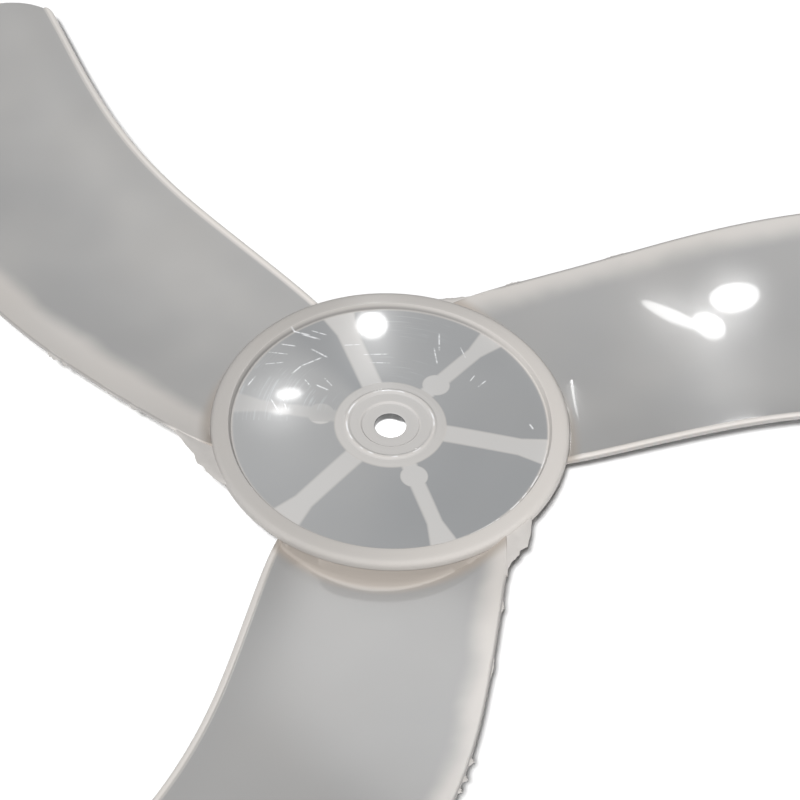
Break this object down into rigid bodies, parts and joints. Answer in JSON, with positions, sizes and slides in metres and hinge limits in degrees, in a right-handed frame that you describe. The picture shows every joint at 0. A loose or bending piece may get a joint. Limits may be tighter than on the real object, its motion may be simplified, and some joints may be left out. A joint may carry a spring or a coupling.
{
  "type": "axial fan impeller",
  "caption": "Moulded axial fan impeller: a shallow dished hub with a ribbed back and a plain shaft bore, carrying swept, cambered blades with a rounded lip on the leading edge.",
  "frame": {"origin": "on the fan axis at the rear face of the boss", "axes": "+Z along the fan axis from the rear of the boss to the front of the hub; +X close to the root of one blade's leading edge"},
  "size_m": [0.3539, 0.351, 0.0281],
  "materials": {
    "impeller": "natural milky translucent moulded plastic with a soft gloss"
  },
  "bodies": {
    "root": {"impeller": "impeller"}
  },
  "joints": []
}
